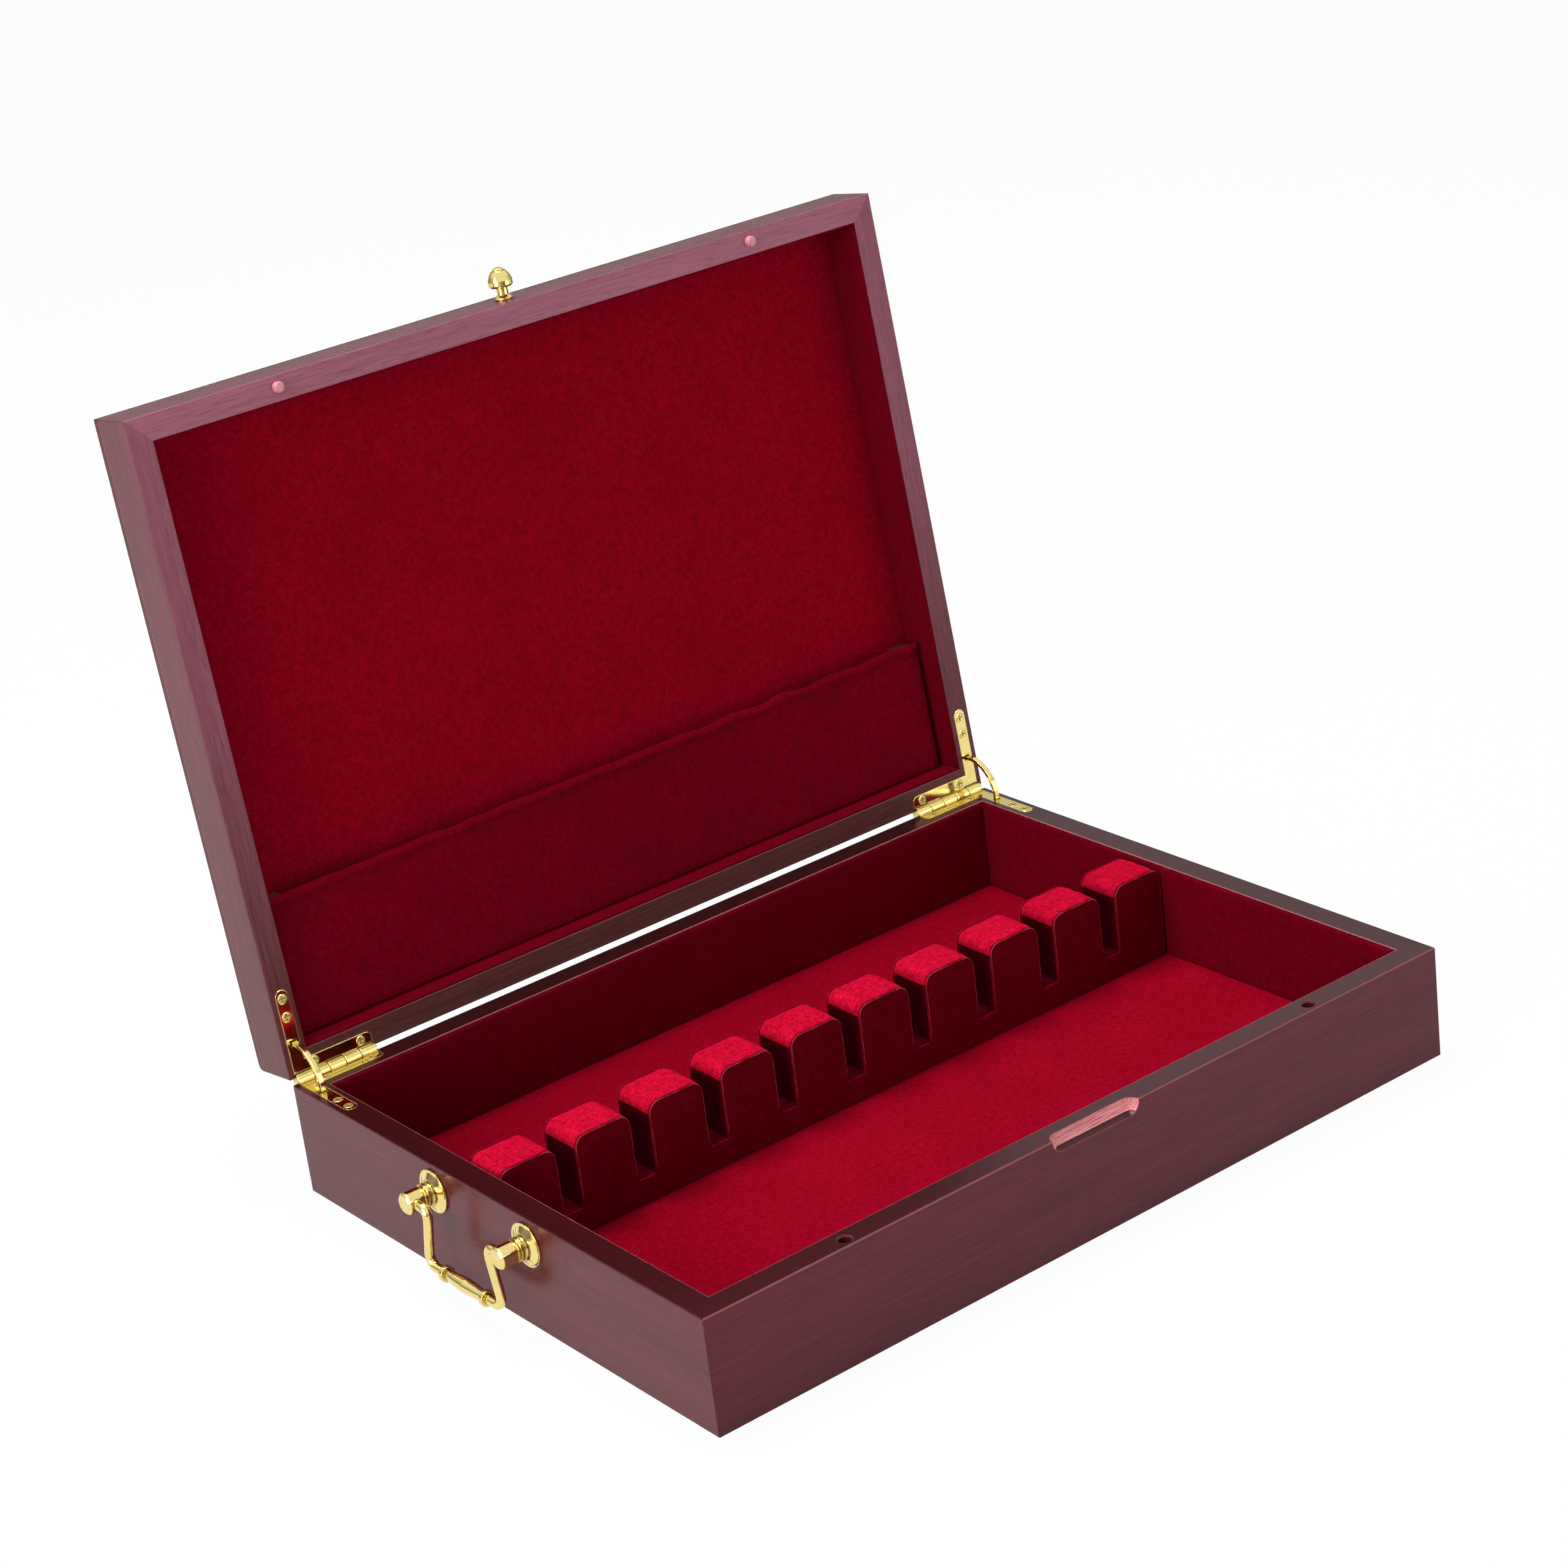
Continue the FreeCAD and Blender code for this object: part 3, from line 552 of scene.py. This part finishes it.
def cloth_slab(low, high, axis, sign, seed, edge_wave=0.0):
    """Closed sheet of cloth filling a box. Its show face along the axis is rippled, with rolled edges.

    With an edge wave, its first edge along the second axis is uneven and hemmed.
    """
    mesh = bmesh.new()
    u_axis, v_axis = [index for index in range(3) if index != axis]
    thickness = high[axis] - low[axis]
    back = low[axis] if sign > 0 else high[axis]
    roll = ROLL_SHARE * thickness
    u_count = steps(high[u_axis] - low[u_axis], CLOTH_STEP)
    v_count = steps(high[v_axis] - low[v_axis], CLOTH_STEP)

    def spread(count, start, end):
        inner = [start + roll + (end - start - 2 * roll) * index / count for index in range(count + 1)]
        return [start, start + ROLL_START * roll] + inner + [end - ROLL_START * roll, end]

    def point(u, v, height):
        place = Vector((0, 0, 0))
        place[u_axis] = u
        place[v_axis] = v
        place[axis] = back + sign * height
        return place

    rows = []
    across = spread(v_count, low[v_axis], high[v_axis])
    if edge_wave:
        inner = [v for v in across[2:] if v - low[v_axis] > PLAIN_MESH_START * HEM_WIDTH]
        pitch = (HEM_MESH_END * HEM_WIDTH - roll) / HEM_ROWS
        folds = [low[v_axis] + roll + pitch * step for step in range(HEM_ROWS + 1)]
        across = across[:2] + folds + inner
    for u in spread(u_count, low[u_axis], high[u_axis]):
        row = []
        for v in across:
            edge = min(u - low[u_axis], high[u_axis] - u, v - low[v_axis], high[v_axis] - v)
            drop = roll * (1 - math.sqrt(max(0.0, 1 - (1 - min(edge / roll, 1)) ** 2)))
            height = thickness - drop + WAVE_DEPTH * (ripple(u, v, seed) - WAVE_SINK) * min(edge / roll, 1)
            shift = 0
            if edge_wave:
                height += hem(v - low[v_axis])
                fade = 1 - (v - low[v_axis]) / (high[v_axis] - low[v_axis])
                shift = edge_wave * fade * ripple(u * MOUTH_WAVE_RATE, 0, MOUTH_SEED)
            row.append(mesh.verts.new(point(u, v + shift, height)))
        rows.append(row)
    grid_face(mesh, rows)
    rim = [edge for edge in mesh.edges if edge.is_boundary]
    sides = bmesh.ops.extrude_edge_only(mesh, edges=rim)
    for vertex in [item for item in sides["geom"] if isinstance(item, bmesh.types.BMVert)]:
        vertex.co[axis] = back
    bmesh.ops.contextual_create(mesh, geom=[edge for edge in mesh.edges if edge.is_boundary])
    return mesh


def line_box(node, body, low, high, axis, sign, seed, place):
    """Velvet sheet in place of one lining node."""
    flat = FLOOR_VELVET if node == "base_floor_lining" else VELVET
    # Upright linings take the velvet with painted shade
    material = flat if axis == 2 else SHADED_VELVET
    piece = add_piece(cloth_slab(low, high, axis, sign, seed), node + "_velvet", place, [material])
    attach(piece, body)
    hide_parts(node)


def line_case():
    facing = {"front": (1, 1), "back": (1, -1), "left": (0, 1), "right": (0, -1)}
    low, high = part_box("base_floor_lining")
    line_box("base_floor_lining", "base", low, high, 2, 1, FLOOR_SEED, AT_REST)
    low, high = closed_box("lid_top_lining")
    line_box("lid_top_lining", "lid", low, high, 2, -1, TOP_SEED, OPENED)
    for index, wall in enumerate(WALLS):
        node = f"base_{wall}_lining"
        low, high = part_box(node)
        line_box(node, "base", low, high, *facing[wall], BASE_SEED + index, AT_REST)
        node = f"lid_{wall}_lining"
        low, high = closed_box(node)
        line_box(node, "lid", low, high, *facing[wall], LID_SEED + index, OPENED)


# Rack coverings

def comb_path():
    """Outline of the rack seen from the front, from the left foot over the posts to the right foot."""
    low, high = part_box("rack_front_facing")
    length = high.x - low.x
    post = (length - RACK_SLOTS * SLOT_WIDTH) / (RACK_SLOTS + 1)
    floor = low.z + SLOT_RISE
    points = []
    for index in range(RACK_SLOTS + 1):
        x0 = low.x + index * (post + SLOT_WIDTH)
        x1 = x0 + post
        points.append((x0, low.z if index == 0 else floor))
        for corner, start in ((x0 + POST_ROUND, 180), (x1 - POST_ROUND, 90)):
            for step in range(ROUND_STEPS + 1):
                angle = math.radians(start - 90 * step / ROUND_STEPS)
                points.append((corner + POST_ROUND * math.cos(angle),
                               high.z - POST_ROUND + POST_ROUND * math.sin(angle)))
        points.append((x1, low.z if index == RACK_SLOTS else floor))
    return points


def divided(points, size):
    """The same line with no run longer than a step."""
    line = [points[0]]
    for (x0, z0), (x1, z1) in zip(points, points[1:]):
        count = max(1, math.ceil(math.hypot(x1 - x0, z1 - z0) / size))
        for index in range(1, count + 1):
            share = index / count
            line.append((x0 + (x1 - x0) * share, z0 + (z1 - z0) * share))
    return line


def facing_mesh(outline, y_show, y_back):
    """Comb-shaped sheet with slightly uneven rolled edges. Those of the posts are the second material."""
    mesh = bmesh.new()
    loop = []
    for x, z in outline:
        place = Vector((x / FACING_STRAY_SIZE, z / FACING_STRAY_SIZE, y_show))
        stray = FACING_STRAY * noise.noise(place)
        loop.append(mesh.verts.new((x + stray, y_show, z + stray)))
    face = mesh.faces.new(loop)
    rim = list(face.edges)
    sides = bmesh.ops.extrude_face_region(mesh, geom=[face])
    for item in sides["geom"]:
        if isinstance(item, bmesh.types.BMVert):
            item.co.y = y_back
    bevel = bmesh.ops.bevel(mesh, geom=rim, offset=FACING_ROLL, segments=2, profile=0.5, affect="EDGES",
                            clamp_overlap=True)
    above = min(z for x, z in outline) + SLOT_RISE + PALE_EDGE_START
    for strip in bevel["faces"]:
        strip.material_index = 1 if strip.calc_center_median().z > above else 0
    return mesh


def polygon_area(points):
    pairs = zip(points, points[1:] + points[:1])
    return abs(sum(x0 * z1 - x1 * z0 for (x0, z0), (x1, z1) in pairs)) / 2


def face_rack():
    outline = divided(comb_path(), FACING_STEP)
    for node, front in (("rack_front_facing", True), ("rack_back_facing", False)):
        low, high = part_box(node)
        show, back = (low.y, high.y) if front else (high.y, low.y)
        mesh = facing_mesh(outline, show, back)
        # Facings take the velvet with painted shade, with paler rolled edges on the posts
        piece = add_piece(mesh, node + "_velvet", AT_REST, [SHADED_VELVET, PALE_EDGE_VELVET])
        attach(piece, "base")
        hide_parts(node)
        polygon_area(comb_path())


def outward(line):
    """Unit normals along a line, pointing up out of the posts."""
    normals = []
    for index in range(len(line)):
        x0, z0 = line[max(index - 1, 0)]
        x1, z1 = line[min(index + 1, len(line) - 1)]
        length = math.hypot(x1 - x0, z1 - z0)
        normals.append((-(z1 - z0) / length, (x1 - x0) / length))
    return normals


def cover_rack():
    """Strip of velvet laid over the posts and down into the slots, crowned and fuzzy on the tops."""
    low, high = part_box("rack_top_cover")
    core_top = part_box("rack_core")[1].z
    thickness = high.z - core_top
    line = divided(comb_path(), COVER_STEP)
    normals = outward(line)
    count = steps(high.y - low.y, COVER_STEP)
    mesh = bmesh.new()
    outer = []
    inner = []
    for (x, z), (nx, nz) in zip(line, normals):
        top = max(0.0, min(1.0, (z - high.z + POST_ROUND) / POST_ROUND))
        outer_row = []
        inner_row = []
        for index in range(count + 1):
            share = index / count
            y = low.y + (high.y - low.y) * share
            crown = POST_CROWN * (1 - (2 * share - 1) ** CROWN_FLATNESS) * top
            fuzz = FUZZ_DEPTH * noise.noise(Vector((x, y, z)) / FUZZ_SIZE)
            rise = crown + fuzz
            outer_row.append(mesh.verts.new((x + nx * rise, y, z + nz * rise)))
            inner_row.append(mesh.verts.new((x - nx * thickness, y, z - nz * thickness)))
        outer.append(outer_row)
        inner.append(inner_row)
    grid_face(mesh, outer)
    grid_face(mesh, inner)
    close_strip(mesh, outer, inner)
    # The slots take the velvet with painted shade, the post tops the velvet with painted light
    for face in mesh.faces:
        face.material_index = 1 if face.calc_center_median().z > high.z - POST_ROUND else 0
    piece = add_piece(mesh, "rack_top_cover_velvet", AT_REST, [DEEP_SHADED_VELVET, LIT_VELVET])
    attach(piece, "base")
    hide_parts("rack_top_cover")


def close_strip(mesh, outer, inner):
    """Walls round the edge of a strip, between its two faces."""
    def ring(rows):
        front = [row[0] for row in rows]
        back = [row[-1] for row in rows]
        return front + rows[-1][1:-1] + back[::-1] + rows[0][-2:0:-1]
    first = ring(outer)
    second = ring(inner)
    for a, b, c, d in zip(first, first[1:] + first[:1], second[1:] + second[:1], second):
        mesh.faces.new((a, b, c, d))


def make_pocket():
    """Velvet-covered panel across the lid's foot, with an uneven hemmed mouth."""
    low, high = closed_box("pocket_panel")
    mesh = cloth_slab(low, high, 2, -1, POCKET_SEED, MOUTH_WAVE)
    piece = add_piece(mesh, "pocket_panel_velvet", OPENED, [POCKET_VELVET])
    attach(piece, "lid")
    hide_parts("pocket_panel")


# Floor, light and camera

def make_floor():
    """Pale floor that takes shadows, and is nearly white to the camera and in reflections."""
    mesh = bmesh.new()
    bmesh.ops.create_circle(mesh, cap_ends=True, segments=FLOOR_SIDES, radius=FLOOR_RADIUS)
    data = bpy.data.meshes.new("floor")
    mesh.to_mesh(data)
    mesh.free()
    floor = bpy.data.objects.new("floor", data)
    bpy.context.scene.collection.objects.link(floor)
    nodes = Nodes("pale_floor")
    tree = nodes.tree
    nodes.set(Base_Color=nodes.mix(nodes.noise(nodes.place(), *FLOOR_CLOUDS), *FLOOR_TONES), Roughness=0.9)
    path = nodes.add("LightPath").outputs
    mirrored = nodes.math("MAXIMUM", path["Is Glossy Ray"], path["Is Transmission Ray"])
    seen = nodes.product(path["Is Camera Ray"], FLOOR_WHITE_SEEN)
    share = nodes.math("MAXIMUM", nodes.product(mirrored, FLOOR_WHITE_MIRRORED), seen)
    white = nodes.add("Emission", Color=WHITE, Strength=1.0)
    blend = tree.nodes.new("ShaderNodeMixShader")
    nodes.feed(share, blend.inputs[0])
    nodes.feed(nodes.shader.outputs[0], blend.inputs[1])
    nodes.feed(white.outputs[0], blend.inputs[2])
    nodes.feed(blend.outputs[0], tree.nodes["Material Output"].inputs[0])
    data.materials.append(nodes.material)


def make_world():
    """Near white to the camera, rising from horizon to sky in reflections, and even for all other light."""
    world = bpy.data.worlds.new("studio")
    bpy.context.scene.world = world
    world.use_nodes = True
    tree = world.node_tree
    background = tree.nodes["Background"]
    background.inputs["Color"].default_value = WHITE
    path = tree.nodes.new("ShaderNodeLightPath").outputs
    parts = tree.nodes.new("ShaderNodeSeparateXYZ")
    tree.links.new(tree.nodes.new("ShaderNodeTexCoord").outputs["Generated"], parts.inputs[0])

    def blend(factor, low, high, start=0.0, end=1.0):
        node = tree.nodes.new("ShaderNodeMapRange")
        tree.links.new(factor, node.inputs[0])
        for socket, value in zip(node.inputs[1:5], (start, end, low, high)):
            if isinstance(value, bpy.types.NodeSocket):
                tree.links.new(value, socket)
            else:
                socket.default_value = value
        return node.outputs[0]

    mirrored = blend(parts.outputs[2], HORIZON_MIRRORED, SKY_MIRRORED, 0.0, SKY_HEIGHT)
    level = blend(path["Is Glossy Ray"], WORLD_LEVEL, mirrored)
    level = blend(path["Is Transmission Ray"], level, mirrored)
    level = blend(path["Is Camera Ray"], level, WORLD_SEEN)
    tree.links.new(level, background.inputs["Strength"])


def add_lamp(name, place, target, size, power):
    data = bpy.data.lights.new(name, "AREA")
    data.shape = "SQUARE"
    data.size = size
    data.energy = power
    lamp = bpy.data.objects.new(name, data)
    lamp.location = place
    lamp.rotation_mode = "QUATERNION"
    lamp.rotation_quaternion = (Vector(target) - Vector(place)).to_track_quat("-Z", "Y")
    bpy.context.scene.collection.objects.link(lamp)


def make_lights():
    make_world()
    for lamp in LAMPS:
        add_lamp(*lamp)


def make_camera():
    data = bpy.data.cameras.new("camera")
    data.lens = CAMERA_LENS
    data.sensor_width = CAMERA_SENSOR
    data.clip_end = CAMERA_REACH
    camera = bpy.data.objects.new("camera", data)
    back = CAMERA_RIGHT.cross(CAMERA_UP)
    turn = Matrix((CAMERA_RIGHT, CAMERA_UP, back)).transposed()
    camera.matrix_world = Matrix.Translation(CAMERA_PLACE) @ turn.to_4x4()
    bpy.context.scene.collection.objects.link(camera)
    bpy.context.scene.camera = camera


paint_wood()
paint_brass()
line_case()
face_rack()
cover_rack()
make_pocket()
make_floor()
make_lights()
make_camera()
bpy.context.scene.view_settings.view_transform = "Standard"
